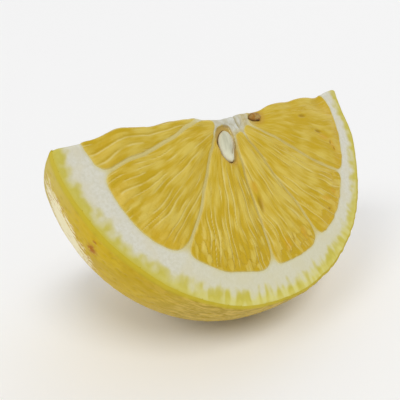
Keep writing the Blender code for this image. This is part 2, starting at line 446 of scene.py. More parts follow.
def roll_depth(gap):
    """How far the rounded rim lies below the surface at this distance from its edge."""
    slack = np.clip(RIM_ROUND - gap, 0, RIM_ROUND)
    return RIM_ROUND - np.sqrt(RIM_ROUND ** 2 - slack ** 2)


def polar(chart):
    """Angle round the middle of the ridge, from -pi to pi, and distance from it."""
    return np.arctan2(chart[:, 1], chart[:, 0]), np.hypot(chart[:, 0], chart[:, 1])


def edge_table():
    """Angle and distance of the uncut outline, for looking up how far out the edge is."""
    angle, distance = polar(edge_loop(0, 0.4))
    order = np.argsort(angle)
    return angle[order], distance[order]


EDGE_ANGLES, EDGE_DISTANCES = edge_table()


def edge_distance(angle):
    """Distance from the middle of the ridge to the peel, on the chart."""
    return np.interp(angle, EDGE_ANGLES, EDGE_DISTANCES, period=2 * math.pi)


def flesh_reach(angle):
    """Distance from the hub to the outer end of the flesh."""
    degrees, widths = zip(*RIND_WIDTHS)
    width = np.interp(np.degrees(np.abs(angle)), degrees, widths)
    width = width + STEM_RIND * np.clip(-np.sin(angle), 0, 1) ** 3
    return edge_distance(angle) - width


def soft_min(first, second, width):
    """The lower of two fields, with a round join."""
    share = np.clip(0.5 + 0.5 * (second - first) / width, 0, 1)
    return second + (first - second) * share - width * share * (1 - share)


def membrane_side(chart, membrane):
    """Distance from a membrane of the cross cut, positive towards the ridge's +X end."""
    angle, distance = polar(chart)
    turn = np.radians(np.interp(distance / RADIUS, MEMBRANE_STOPS, membrane[1]))
    return distance * np.sin(turn - angle)


def core_gap(chart, start, side):
    """Distance from the white core: a disc in the cross cut, a column in the long cut."""
    _, distance = polar(chart)
    down = np.clip(-chart[:, 1] / (STEM_REACH * LONG_SLOPE), 0, 1)
    width = np.interp(down, CORE_STOPS, (start,) + CORE_HALF_WIDTHS) * RADIUS
    column = side * (chart[:, 0] + chart[:, 1] * CORE_SKEW / LONG_SLOPE) - width
    return np.where(chart[:, 1] >= 0, distance - start * RADIUS, column)


def waver(chart, slow, quick, seed):
    """The chart bent to and fro by slow and quick waves of these heights."""
    flat = lay(chart)
    broad = [perlin(flat, 5, seed + part) for part in (0, 14.6)]
    small = [perlin(flat, 1.6, seed + part) for part in (2.1, 6.8)]
    return chart + slow * np.column_stack(broad) + quick * np.column_stack(small)


def wander(chart):
    """The chart with a gentle waver, so that no edge of the flesh is ruled."""
    return waver(chart, 0.3, 0.08, 3.1)


def segment_field(index, moved):
    """Distance inside the edge of a segment, negative outside it. Segment 0 is at +X."""
    angle, distance = polar(moved)
    field = flesh_reach(angle) - distance
    last = len(MEMBRANES)
    outward = ease(distance / RADIUS, 0.1, 0.6)
    rounds = [TIP_ROUND + (w - TIP_ROUND) * outward for w in SEGMENT_CORNERS[index]]
    if index > 0:
        before = MEMBRANES[index - 1]
        field = soft_min(field, -membrane_side(moved, before) - before[0], rounds[0])
    if index < last:
        after = MEMBRANES[index]
        field = soft_min(field, membrane_side(moved, after) - after[0], rounds[1])
    side = 1 if index == 0 else -1
    start = SEGMENT_STARTS[index]
    gap = core_gap(moved, start, side) if index in (0, last) else distance - start * RADIUS
    return soft_min(field, gap, TIP_ROUND)


def trace(field, centre, count):
    """The outline where a field falls to zero, seen from a point inside it."""
    angle = np.linspace(0, 2 * math.pi, count, endpoint=False)
    ray = rays(angle)
    reach = np.linspace(0, 1.3 * RADIUS, 120)
    low, high = np.zeros(count), np.full(count, reach[-1])
    looking = np.ones(count, bool)
    for before, after in zip(reach, reach[1:]):
        outside = field(centre + after * ray) < 0
        found = looking & outside
        low[found], high[found] = before, after
        looking &= ~outside
    for _ in range(14):
        middle = (low + high) / 2
        inside = field(centre + middle[:, None] * ray) > 0
        low, high = np.where(inside, middle, low), np.where(inside, high, middle)
    return centre + low[:, None] * ray


# ---- meshes

def lattice_points(low, high, step):
    """Evenly spread points over a rectangle, in staggered rows, each a little off its place."""
    row = step * math.sqrt(0.75)
    columns = np.arange(low[0], high[0], step)
    rows = np.arange(low[1], high[1], row)
    x, y = np.meshgrid(columns, rows)
    x = x + (np.arange(len(rows)) % 2 * step / 2)[:, None]
    chance = np.random.default_rng(7)
    return np.column_stack((x.ravel(), y.ravel())) + chance.normal(0, 0.04 * step, (x.size, 2))


def scatter(outline, step, room, margin):
    """Spread points over the box of an outline, kept where they have more room than a margin."""
    points = lattice_points(outline.min(0), outline.max(0), step)
    return points[room(points) > margin]


def fill(outline, inner):
    """Triangles over an outline and the points inside it, as rows of point numbers."""
    points = [Vector(each) for each in np.vstack((outline, inner)).tolist()]
    ring = list(range(len(outline)))
    _, _, faces, sources, _, _ = delaunay_2d_cdt(points, [], [ring], 1, 1e-6)
    number = [source[0] if source else -1 for source in sources]
    return np.array([[number[i] for i in face] for face in faces if len(face) == 3])


def put_in_scene(name, data):
    """A new object in the scene."""
    item = bpy.data.objects.new(name, data)
    bpy.context.scene.collection.objects.link(item)
    return item


def add_mesh(name, points, faces, attributes, smooth):
    """A mesh object whose first faces are smooth, with attributes given as arrays on its points."""
    mesh = bpy.data.meshes.new(name)
    mesh.from_pydata((points * MM).tolist(), [], faces.tolist())
    for title, values in attributes.items():
        kind, field = ("FLOAT", "value") if values.ndim == 1 else ("FLOAT_VECTOR", "vector")
        layer = mesh.attributes.new(title, kind, "POINT")
        layer.data.foreach_set(field, values.astype(np.float32).ravel())
    mesh.polygons.foreach_set("use_smooth", np.arange(len(faces)) < smooth)
    return put_in_scene(name, mesh)


def add_body(name, outline, fine, coarse, place, relief, depth):
    """A closed body: a detailed skin over an outline, and a plain back behind it.

    place(chart, height) gives world points. relief(chart) gives the skin's height and its
    attributes. The back lies depth below, and meets the skin along the outline.
    """
    top = np.vstack((outline, fine))
    height, attributes = relief(top)
    under = place(coarse, np.full(len(coarse), -depth))
    points = np.vstack((place(top, height), under))
    skin = fill(outline, fine)
    back = fill(outline, coarse)
    back = np.where(back >= len(outline), back + len(fine), back)[:, ::-1]
    blank = {key: np.zeros((len(coarse),) + value.shape[1:]) for key, value in attributes.items()}
    joined = {key: np.concatenate((value, blank[key])) for key, value in attributes.items()}
    return add_mesh(name, points, np.vstack((skin, back)), joined, len(skin))


# ---- flesh

def sac_coordinates(index, chart):
    """Where a place lies among the juice sacs: its turn round the core, and how far out it is."""
    moved = waver(chart, 0.3, 0.05, 40.3)
    angle, distance = polar(moved)
    across = np.abs(moved[:, 0]) + FAN_SHIFT * RADIUS
    tilt = np.arctan2(-moved[:, 1], across)
    tilt = np.where(moved[:, 0] > 0, -tilt, math.pi + tilt)
    reach = np.hypot(across, moved[:, 1]) - FAN_SHIFT * RADIUS
    below = moved[:, 1] < 0
    turn = np.where(below, tilt, angle) + SAC_LEANS[index] * distance / RADIUS
    return turn, np.where(below, reach, distance)


def sac_base(turn, reach):
    """Number of sac widths round the core, with uneven widths and a slow waver."""
    base = turn * SAC_SPREAD / SAC_WIDTH
    for waves, height in ((0.9, 0.26), (2.3, 0.11), (4.7, 0.06)):
        base = base + height * perlin(lay(base * waves, 0 * base), 1, 5.7)
    slow = perlin(lay(base * 0.6, reach / 4.5), 1, 25.2)
    quick = perlin(lay(base * 2.2, reach / 2.2), 1, 35.6)
    return base + 0.15 * slow + 0.035 * quick


def sac_level(base, reach, level):
    """The sacs after so many forks: their shade, and their walls, bulge and flanks, which are darkened
    beside each wall as painted shade.
    """
    across = base * 2 ** level
    index = np.floor(across)
    part = across - index
    edge = np.minimum(part, 1 - part)
    width = SAC_WIDTH * reach / SAC_SPREAD / 2 ** level

    def along(number, stretch, seed):
        return perlin(lay(number * stretch + 0.5, reach / SAC_LENGTH), 1, seed)

    other = index + np.where(part < 0.5, -1, 1)
    own, beside = along(index, 5.3, 45.3), along(other, 5.3, 45.3)
    shade = own + (beside - own) * 0.5 * fade(edge, 0, 0.2)
    wall = (index + (part >= 0.5)) / 2 ** level
    seen = ease(along(wall, 9.1, 75.4), -0.06, 0.2)
    line = fade(edge * width, 0.02, 0.12) * seen
    # the flank beside a wall: it dips a little and gets painted shade
    flank = ease(part * width, 0.07, 0.13)
    flank *= fade(part * width, 0.14, 0.28) * seen
    bulge = np.sqrt(np.clip(edge * (1 - edge) * 4, 0, 1)) * np.minimum(width, 1)
    return shade, line, flank, bulge * (0.5 + 0.5 * seen)


def sac_pattern(index, chart, rindward):
    """Juice sacs: their bulge, the thin walls between them, and their shades."""
    turn, reach = sac_coordinates(index, chart)
    base = sac_base(turn, reach)
    fields = np.array(sac_level(base, reach, 0))
    for level, (start, end) in enumerate(SAC_FORKS):
        share = ease(reach, start, end)
        fields = fields + (np.array(sac_level(base, reach, level + 1)) - fields) * share
    shade, line, flank, bulge = fields
    strength = SAC_STRENGTH[index] * ease(reach, 2, 9)
    mottled = MOTTLING[index] * fade(rindward, 1, 7.5)
    near, far, number = cells(lay(turn * 22 / 0.75, reach / 1.5), 11.3)
    return {
        "shade": shade * (0.35 + 0.65 * strength) + SEGMENT_SHADES[index],
        "blotch": perlin(lay(chart), 2.6, 91),
        "ripple": perlin(lay(turn * 24, reach / 2.2), 1, 93) * strength,
        "line": line * strength,
        "flank": flank * strength,
        "bulge": bulge * strength,
        "grain": mottled * (number - 0.5),
        "grain_wall": mottled * fade(far - near, 0, 0.2),
        "along": lay(turn * 18, reach),
    }


def oval_gap(chart, x, y, turn, length, width):
    """How far places are from the centre of an oval, 1 at its edge."""
    across, down = (chart - (x, y)).T
    cos, sin = math.cos(math.radians(turn)), math.sin(math.radians(turn))
    along, aside = across * cos + down * sin, down * cos - across * sin
    return np.hypot(2 * along / length, 2 * aside / width)


def marks(chart, ovals):
    """1 inside any of some ovals, fading to 0 round them."""
    return np.max([fade(oval_gap(chart, *each), 0.3, 1.3) for each in ovals], axis=0)


def path_gap(chart, path):
    """Distance from a line through some points."""
    path, best = np.array(path), np.full(len(chart), np.inf)
    for start, end in zip(path, path[1:]):
        step = end - start
        share = np.clip(((chart - start) @ step) / (step @ step), 0, 1)
        best = np.minimum(best, np.hypot(*(chart - start - share[:, None] * step).T))
    return best


def loop_gap(chart, loop):
    """Distance from a closed outline, negative inside it."""
    x, y = chart.T
    inside = np.zeros(len(chart), bool)
    for start, end in zip(loop, np.roll(loop, -1, axis=0)):
        crossed = (start[1] > y) != (end[1] > y)
        slope = (end[0] - start[0]) / (end[1] - start[1] if end[1] != start[1] else 1)
        inside ^= crossed & (x < start[0] + (y - start[1]) * slope)
    gap = path_gap(chart, np.vstack((loop, loop[:1])))
    return np.where(inside, -gap, gap)


def smooth_loop(corners, parts=8):
    """A closed curve through some points."""
    points = np.array(corners)
    before, after = np.roll(points, 1, axis=0), np.roll(points, -1, axis=0)
    later = np.roll(points, -2, axis=0)
    curve = []
    for t in np.arange(parts) / parts:
        bend = 2 * points + (after - before) * t
        bend = bend + (2 * before - 5 * points + 4 * after - later) * t ** 2
        bend = bend + (3 * points - before - 3 * after + later) * t ** 3
        curve.append(bend / 2)
    return np.stack(curve, axis=1).reshape(-1, 2)


KERNEL_LOOP = smooth_loop(KERNEL)
HOLLOW_LOOP = smooth_loop(HOLLOW)
SMALL_LOOP = smooth_loop(SMALL_SEED)


def hollow_share(chart):
    """1 on the floor of the cut seed's hollow, 0 outside it."""
    return ease(-loop_gap(chart, HOLLOW_LOOP), 0, HOLLOW_SLOPE)


def seed_dent(chart):
    """1 under the small seed, fading to 0 round it."""
    return fade(loop_gap(chart, SMALL_LOOP), -0.1, 0.35)


def press(chart, height, hollow):
    """The height of a cut face after the seeds have pressed their places into it."""
    return height * (1 - hollow) - HOLLOW_DEPTH * hollow - SEED_DENT * seed_dent(chart)


def paleness(chart):
    """How pale the nearest membrane is."""
    _, distance = polar(chart)
    sides = np.abs([membrane_side(chart, membrane) for membrane in MEMBRANES])
    shades = [np.interp(distance / RADIUS, MEMBRANE_STOPS, pale) for _, _, pale in MEMBRANES]
    return np.choose(np.argmin(sides, axis=0), shades)


def flesh_relief(index, chart):
    """The skin of a segment: its height and what its material reads."""
    inside = segment_field(index, wander(chart))
    angle, distance = polar(chart)
    rindward = flesh_reach(angle) - distance
    round_edge = dome(inside / SHOULDER)
    flat = lay(chart)
    sacs = sac_pattern(index, chart, rindward)
    off_ridge = ease(np.abs(chart[:, 1]), 0, RIDGE_REACH)
    fill_out = FLESH_SWELL * ease(inside, 0, 3) * off_ridge
    slow = SLOW_SWELL * perlin(flat, 4.5, 41) * ease(inside, 0, 2)
    uneven = SAC_BULGE * (sacs["bulge"] - 0.5) + SHADE_RISE * sacs["shade"]
    uneven += SAC_WALL * sacs["line"] - FLANK_DIP * sacs["flank"] + RIPPLE_RISE * sacs["ripple"]
    uneven += GRAIN_RISE * sacs["grain"] - GRAIN_DIP * sacs["grain_wall"]
    level = (FLESH_SINK + FLESH_LEVEL * (0.3 + 0.7 * off_ridge)) * round_edge - FLESH_SINK
    height = level + fill_out + slow + uneven * ease(inside, 0.05, 0.9)
    hollow, pit = hollow_share(chart), marks(chart, PITS)
    return press(chart, height, hollow) - PIT_DEPTH * pit, {
        "inside": inside,
        "rindward": rindward,
        "pale": np.where(rindward < 0.8, 1, 0.35 + 0.65 * paleness(chart)),
        "seedward": np.minimum(loop_gap(chart, KERNEL_LOOP), loop_gap(chart, SMALL_LOOP)),
        "coreward": distance - SEGMENT_STARTS[index] * RADIUS + 9 * (index > 0),
        "hollow": hollow,
        "pit": pit,
        "amber": marks(chart, AMBER_PATCHES),
        "place": flat,
        **sacs,
    }


def add_segment(index):
    """One segment of flesh. The first and the last run over the ridge into the long cut."""
    def field(chart):
        return segment_field(index, wander(chart))

    def relief(chart):
        return flesh_relief(index, chart)

    centre = np.array(SEGMENT_CENTRES[index]) * RADIUS
    count = LONG_OUTLINE if index in (0, len(MEMBRANES)) else SHORT_OUTLINE
    outline = trace(field, centre, count)
    fine = scatter(outline, FLESH_STEP, field, 0.45 * FLESH_STEP)
    coarse = scatter(outline, COARSE_STEP, field, 0.5 * COARSE_STEP)
    name = "segment_%d" % (index + 1)
    return add_body(name, outline, fine, coarse, fold, relief, SEGMENT_DEPTH)


# ---- rind and core

def nearest_segment(chart):
    """Distance inside the nearest segment, negative in the rind, the core and the membranes."""
    moved = wander(chart)
    return np.max([segment_field(i, moved) for i in range(len(MEMBRANES) + 1)], axis=0)


def membrane_share(chart):
    """1 on the thin walls between segments, fading to 0 in the rind and in the core."""
    angle, distance = polar(chart)
    start = np.where(np.degrees(angle) > 165, 0.2, 0.13) * RADIUS
    rise = ease(distance, start, start + 0.06 * RADIUS)
    fall = ease(flesh_reach(angle) - distance, 0.2, 1.6)
    return rise * fall * (chart[:, 1] > 0)


def core_creases(chart):
    """1 in the creases of the white core, falling to 0 beside them, and their depth."""
    depth = np.max([deep * fade(path_gap(chart, path), 0, width)
                    for path, width, deep in CORE_CREASES], axis=0)
    return depth / CORE_CREASES[0][2], depth


def core_yellowing(chart):
    """Where the white core turns yellow: beside the small seed and towards the membranes."""
    right = ease(chart[:, 0], 1.7, 3.2)
    left = 0.3 * ease(-chart[:, 0], 1.2, 3.2)
    below = 0.8 * ease(chart[:, 1], 1.8, 3)
    return np.maximum(np.maximum(right, left), below)


def rind_relief(chart):
    """The cut surface of rind, membranes and core: its height and what its material reads."""
    angle, distance = polar(chart)
    gap = edge_distance(angle) - distance
    inside = nearest_segment(chart)
    flat = lay(chart)
    height = -RIND_SINK * ease(gap, 0.4, 2)
    height += 0.03 * perlin(flat, 0.8, 61) + 0.05 * perlin(flat, 3, 67)
    core = fade(distance, 0.1 * RADIUS, 0.2 * RADIUS)
    share, depth = core_creases(chart)
    height += 0.1 * core * perlin(flat, 1.1, 23) - depth
    hollow = hollow_share(chart)
    membrane, pale = membrane_share(chart), paleness(chart)
    height = press(chart, height, hollow) + membrane * (MEMBRANE_RISE - MEMBRANE_DIP * (1 - pale))
    height = np.where(inside > 0.25, -UNDER_FLESH - hollow * HOLLOW_DEPTH, height)
    height *= ease(gap, 0.3, 0.9)
    edge = RIM_ROUND - RIM_LAP
    tuck = RIM_TUCK * fade(gap, edge, edge + RIM_TUCK_WIDTH)
    height += RIM_COVER - roll_depth(gap) - tuck
    return height, {
        "gap": gap,
        "inside": inside,
        "membrane": membrane,
        "pale": pale,
        "crease": share,
        "hollow": hollow,
        "core": core,
        "yellowed": core_yellowing(chart),
        "turn": np.degrees(angle),
        "rim": lay(angle * RADIUS, gap),
        "place": flat,
    }


def add_rind():
    """White rind, membranes and core of both cut faces, with the yellow outer band."""
    def room(chart):
        angle, distance = polar(chart)
        return edge_distance(angle) - RIM_ROUND + RIM_LAP - distance

    outline = edge_loop(RIM_ROUND - RIM_LAP, 0.3)
    ring = edge_loop(RIM_ROUND - RIM_LAP + RIM_TUCK_WIDTH, 0.3)
    fine = scatter(outline, RIND_STEP, room, RIM_TUCK_WIDTH + 0.4 * RIND_STEP)
    fine = fine[nearest_segment(fine) < 0.5]
    filler = scatter(outline, COARSE_STEP, nearest_segment, 0.5 + 0.5 * COARSE_STEP)
    coarse = scatter(outline, COARSE_STEP, room, 0.9 * COARSE_STEP)
    fine = np.vstack((ring, fine, filler))
    return add_body("pith", outline, fine, coarse, fold, rind_relief, RIND_DEPTH)


# ---- seeds

def add_seed(name, loop, grow, base, rise):
    """A seed, or its coat where grow is more than nothing, standing in its hollow."""
    tangent = np.roll(loop, -1, axis=0) - np.roll(loop, 1, axis=0)
    normal = np.column_stack((tangent[:, 1], -tangent[:, 0]))
    normal /= np.hypot(*normal.T)[:, None]
    if loop_gap(loop + 1e-3 * normal, loop).mean() < 0:
        normal = -normal
    outline = loop + grow * normal
    centre = outline.mean(0)
    long_axis = np.linalg.svd(outline - centre)[2][0]
    side_axis = np.array((-long_axis[1], long_axis[0]))
    side_axis = side_axis * np.sign(side_axis[0])
    half_width = np.abs((outline - centre) @ side_axis).max()
    half_height = np.ptp(outline[:, 1]) / 2

    def room(chart):
        return -loop_gap(chart, outline)

    def relief(chart):
        inner = np.clip(room(chart) / half_width, 0, 1)
        top = dome(inner)
        along = (chart - centre) @ long_axis
        across = (chart - centre) @ side_axis
        crease = fade(path_gap(chart, CREASE), 0, SEED_CREASE)
        fibres = 0.03 * perlin(lay(across, 0.2 * along), 0.3, 15)
        lumps = 0.05 * perlin(lay(chart), 0.7, 19)
        height = base + (rise + fibres + lumps - 0.12 * crease) * top
        return height, {
            "inner": inner,
            "crease": crease,
            # lower part of a seed: painted highlight on the kernel, painted shade on the small seed
            "low": ease((chart[:, 1] - centre[1]) / half_height, 0.2, 0.85),
            "side": ease(across / half_width, 0.25, 0.6),
            "grain": lay(across, along),
            "place": lay(chart),
        }

    fine = scatter(outline, SEED_STEP, room, 0.6 * SEED_STEP)
    return add_body(name, outline, fine, fine[::9], fold, relief, SEED_DEPTH)


# ---- peel

def stem_table():
    """Distance over the peel from the stem, against the distance behind the cross cut."""
    back = back_stops(400)[::-1]
    line = peel_place(math.pi / 2, back)
    steps = np.linalg.norm(np.diff(line, axis=0), axis=1)
    return np.concatenate(((0,), np.cumsum(steps))), back


STEM_DISTANCES, STEM_BACKS = stem_table()
PEEL_REACH = STEM_DISTANCES[-1]


def peel_chart(chart):
    """Angle, distance behind the cross cut, and distance to the nearest cut edge."""
    angle, distance = polar(chart)
    angle = np.where(angle < -math.pi / 2, angle + 2 * math.pi, angle)
    back = np.interp(distance, STEM_DISTANCES, STEM_BACKS)
    radius = outline_radius(angle, back) * girth(back)
    edge = np.minimum(PEEL_REACH - distance, radius * np.sin(angle))
    return angle, back, edge


def peel_skin(chart):
    """Points of the peel for places on its chart, drawn in where it rolls over a cut edge."""
    angle, back, edge = peel_chart(chart)
    return peel_place(angle, back, roll_depth(edge))


def peel_fold(chart, height):
    """Points on the peel, raised from it by height, in the world."""
    step = 0.02
    across = peel_skin(chart + (step, 0)) - peel_skin(chart - (step, 0))
    along = peel_skin(chart + (0, step)) - peel_skin(chart - (0, step))
    normal = np.cross(across, along)
    normal /= np.maximum(np.linalg.norm(normal, axis=1), 1e-6)[:, None]
    outward = np.sign(normal[:, 2].sum())
    place = to_world(peel_skin(chart) + outward * height[:, None] * normal)
    place[:, 2] = np.maximum(place[:, 2], CAD_BOX[0][2] / MM)
    return place


def peel_relief(chart):
    """Pores and slow lumps of the peel, and what its material reads."""
    angle, back, edge = peel_chart(chart)
    place = peel_skin(chart)
    pore = fade(cells(place / PORE_SPACING, 3.3)[0], 0.08, 0.48)
    lumps = perlin(place, 5, 71)
    small = perlin(place, 1.3, 73)
    inner = ease(edge, 0.3, 1.2)
    skin = np.column_stack((angle * RADIUS, back))
    blemish = marks(skin, BLEMISHES)
    height = inner * (PEEL_LUMPS * lumps + 0.04 * small - PORE_DEPTH * pore)
    height += inner * 0.06 * blemish * (0.5 + perlin(place, 0.4, 77))
    return height, {
        "pore": pore,
        "edge": edge,
        "stem": polar(chart)[1],
        "skin": lay(skin),
        "turn": np.degrees(angle),
        "blemish": blemish,
        # where the painted highlight lies
        "patch": marks(skin, (PAINTED_HIGHLIGHT,)),
    }


def peel_outline(step):
    """The edge of the peel on its chart: along the long cut, then round the rim."""
    side = np.linspace(-PEEL_REACH, PEEL_REACH, int(2 * PEEL_REACH / step))
    rim = PEEL_REACH * rays(np.linspace(0, math.pi, int(math.pi * PEEL_REACH / step)))
    return np.vstack((np.column_stack((side, 0 * side)), rim[1:-1]))


def add_peel():
    """The skin of the fruit, closed behind by a plain inner skin."""
    def room(chart):
        return np.minimum(PEEL_REACH - polar(chart)[1], chart[:, 1])

    outline = peel_outline(PEEL_STEP)
    fine = scatter(outline, PEEL_STEP, room, RIM_ROUND + 0.5 * PEEL_STEP)
    rolls = [shrink_half_disc(outline, part * RIM_ROUND) for part in (0.1, 0.3, 0.5, 0.75, 1)]
    fine = np.vstack([fine] + rolls)
    coarse = scatter(outline, COARSE_STEP, room, 0.8 * COARSE_STEP)
    return add_body("peel", outline, fine, coarse, peel_fold, peel_relief, PEEL_DEPTH)


def shrink_half_disc(outline, inset):
    """The outline of the peel's chart, moved in by a distance."""
    angle, distance = polar(outline)
    radius = np.minimum(distance, PEEL_REACH - inset)
    moved = np.column_stack((radius * np.cos(angle), np.maximum(radius * np.sin(angle), inset)))
    inside = np.hypot(moved[:, 0], moved[:, 1]) <= PEEL_REACH - 0.99 * inset
    return moved[inside]


# ---- materials

def srgb(red, green, blue):
    """A colour as it looks on a screen, as the linear values that a shader takes."""
    def linear(value):
        part = value / 255
        return part / 12.92 if part <= 0.04045 else ((part + 0.055) / 1.055) ** 2.4
    return (linear(red), linear(green), linear(blue), 1)


class Shader:
    """A node material built by calls. Its colour is painted coat by coat."""

    def __init__(self, name):
        self.material = bpy.data.materials.new(name)
        self.material.use_nodes = True
        self.tree = self.material.node_tree
        self.surface = self.tree.nodes["Principled BSDF"]
        self.colour = None

    def put(self, socket, value):
        """Link or set a socket. A name is read from the mesh, and three numbers are a colour."""
        if isinstance(value, str):
            value = self.read(value)
        if isinstance(value, bpy.types.NodeSocket):
            self.tree.links.new(value, socket)
        elif socket.type == "RGBA" and len(value) == 3:
            socket.default_value = srgb(*value)
        else:
            socket.default_value = value

    def node(self, kind, inputs, output=0, **settings):
        """What a node with these inputs and settings puts out."""
        made = self.tree.nodes.new("ShaderNode" + kind)
        for key, value in settings.items():
            setattr(made, key, value)
        for key, value in inputs.items():
            self.put(made.inputs[key], value)
        return made.outputs[output]

    def read(self, name, output="Fac"):
        """What the mesh holds under a name."""
        return self.node("Attribute", {}, output, attribute_name=name)

    def reckon(self, operation, first, *others):
        """A sum, a difference or a product."""
        for other in others:
            first = self.node("Math", {0: first, 1: other}, operation=operation)
        return first

    plus = partialmethod(reckon, "ADD")
    minus = partialmethod(reckon, "SUBTRACT")
    times = partialmethod(reckon, "MULTIPLY")

    def swing(self, share, size):
        """A noise moved to swing to both sides of 0, and made larger."""
        return self.times(self.minus(share, 0.5), size)

    def span(self, value, low, high, start=0, end=1):
        """An even curve from start to end as the value goes from low to high."""
        inputs = {"Value": value, "From Min": low, "From Max": high, "To Min": start, "To Max": end}
        return self.node("MapRange", inputs, "Result", interpolation_type="SMOOTHSTEP")

    def mix(self, share, first, second):
        """Two colours mixed."""
        return self.node("Mix", {"Factor": share, 6: first, 7: second}, 2, data_type="RGBA")

    def blend(self, value, low, high, first, second):
        """A colour that goes from the first to the second as the value goes up."""
        return self.mix(self.span(value, low, high), first, second)

    def vector(self, operation, first, second):
        """A sum or a product of vectors."""
        return self.node("VectorMath", {0: first, 1: second}, operation=operation)

    def noise(self, place, scale, detail=2, rough=0.5):
        """Noise from 0 to 1. A scale of three numbers stretches it."""
        if isinstance(scale, tuple):
            place, scale = self.vector("MULTIPLY", place, scale), 1
        inputs = {"Vector": place, "Scale": scale, "Detail": detail, "Roughness": rough}
        return self.node("TexNoise", inputs, "Fac")

    def place(self):
        """Where the point is on the object."""
        return self.node("TexCoord", {}, "Object")

    def paint(self, share, colour):
        """Lay a colour over a share of what is there."""
        self.colour = self.mix(share, self.colour, colour)

    def bump(self, height, distance):
        """Fine relief."""
        inputs = {"Height": height, "Distance": distance * MM, "Strength": BUMP_STRENGTH}
        self.put(self.surface.inputs["Normal"], self.node("Bump", inputs))

    def finish(self, rough, specular):
        """The surface itself."""
        self.put(self.surface.inputs["Base Color"], self.colour)
        self.surface.inputs["Roughness"].default_value = rough
        self.surface.inputs["Specular IOR Level"].default_value = specular
        return self.material


def flesh_material():
    """Moist golden flesh: sacs of slightly different yellow between pale walls."""
    s = Shader("flesh")
    along, place = s.read("along", "Vector"), s.read("place", "Vector")
    streak = s.noise(along, (1.1, 0.22, 1))
    fibre = s.noise(along, (2.8, 0.5, 1))
    tone = s.plus(s.times("shade", 0.66), s.times("blotch", 0.2), s.times("ripple", 0.32),
                  s.times("grain", 0.6), s.swing(streak, 1.1), s.swing(fibre, 0.9))
    s.colour = s.blend(tone, -0.42, 0.42, (190, 159, 26), (207, 184, 82))
    orange = s.span("rindward", 0.5, 5, 0.35, 0.1)
    s.paint(s.times(orange, s.span(s.noise(place, 0.22), 0.4, 0.62)), (207, 168, 44))
    s.paint(s.times("amber", 0.6), (202, 154, 30))
    s.paint(s.times("line", 0.68), (217, 204, 134))
    # painted shade: a dark line beside each raised wall, where its shade would fall
    s.paint(s.times("flank", 0.5), (170, 140, 22))
    s.paint(s.times("grain_wall", 0.3), (176, 146, 40))
    s.paint(s.span("seedward", 0.2, 1.2, 0.75, 0), (186, 148, 56))
    s.paint(s.times("hollow", 0.9), (182, 152, 80))
    s.paint(s.times("pit", 0.85), (160, 126, 14))
    near_core = s.span("coreward", 0, 2.2, 0.85, 0)
    s.paint(s.times(near_core, s.span(streak, 0.4, 0.55, 0.6, 1)), (192, 174, 112))
    s.paint(s.times(s.span("inside", 0, 0.28, 0.9, 0), "pale"), (207, 196, 132))
    s.bump(s.noise(place, 6), 0.05)
    return s.finish(0.4, 0.22)


def paint_outer_band(s, low):
    """The rind's yellow outer band: soft blobs at the sides, and teeth with streaks low down."""
    rim = s.read("rim", "Vector")
    blob = s.noise(rim, (0.65, 0.6, 1), 0.8)
    tooth = s.noise(rim, (0.95, 0.34, 1), 0.5)
    narrow = s.plus(s.span("turn", 65, 30, 0, 0.4), s.span("turn", 135, 150, 0, 0.35))
    ragged = s.plus(s.swing(blob, 2.4), s.times(s.swing(tooth, 1.9), low))
    reach = s.minus(s.plus("gap", narrow), ragged)
    streaked = s.blend(tooth, 0.38, 0.62, (211, 204, 124), (204, 193, 92))
    s.paint(s.span(reach, 0.9, 3.1, 1, 0), s.mix(low, (202, 192, 102), streaked))
    dense_blobs = s.span(blob, 0.42, 0.62, 0.15, 0.7)
    dense = s.mix(low, dense_blobs, s.span(tooth, 0.36, 0.66, 0.05, 0.75))
    inner = s.times(s.span(reach, 0.2, 1.3), s.span(reach, 3, 1.3))
    s.paint(s.times(inner, dense), (189, 177, 62))
    s.paint(s.span("gap", 0.1, s.span(low, 0, 1, 1.1, 0.55), 0.9, 0), (189, 173, 44))


def pith_material():
    """Matt white pith, with the yellow outer band where the oil glands are cut through."""
    s = Shader("pith")
    place = s.read("place", "Vector")
    speckle = s.noise(place, 2.2, 3, 0.6)
    s.colour = s.blend(speckle, 0.35, 0.65, (205, 202, 184), (212, 210, 196))
    s.paint(s.span(s.noise(place, 0.3), 0.45, 0.65, 0, 0.6), (208, 202, 176))
    low = s.times(s.span("turn", 30, 75), s.span("turn", 150, 115))
    s.paint(s.times(low, 0.5), (206, 201, 162))
    paint_outer_band(s, low)
    s.paint(s.span("inside", -0.35, -0.02, 0, 0.5), (204, 198, 148))
    dusk = s.noise(place, 0.9, 3, 0.6)
    white = s.blend(dusk, 0.35, 0.62, (206, 207, 199), (190, 187, 168))
    fibre = s.noise(place, (1.3, 1.3, 1), 3, 0.6)
    yellowed = s.blend(fibre, 0.4, 0.6, (180, 162, 100), (194, 182, 138))
    s.paint(s.times("core", 0.85), s.mix("yellowed", white, yellowed))
    # the darker membranes lie in shallow valleys, and their darker colour is partly painted shade
    s.paint("membrane", s.mix("pale", (178, 152, 52), (204, 191, 126)))
    # painted shade: the creases of the white core darkened
    s.paint(s.times("crease", 0.85), (164, 150, 96))
    s.paint(s.span("hollow", 0, 0.6, 0, 0.9), (172, 146, 84))
    s.bump(speckle, 0.1)
    return s.finish(0.65, 0.25)


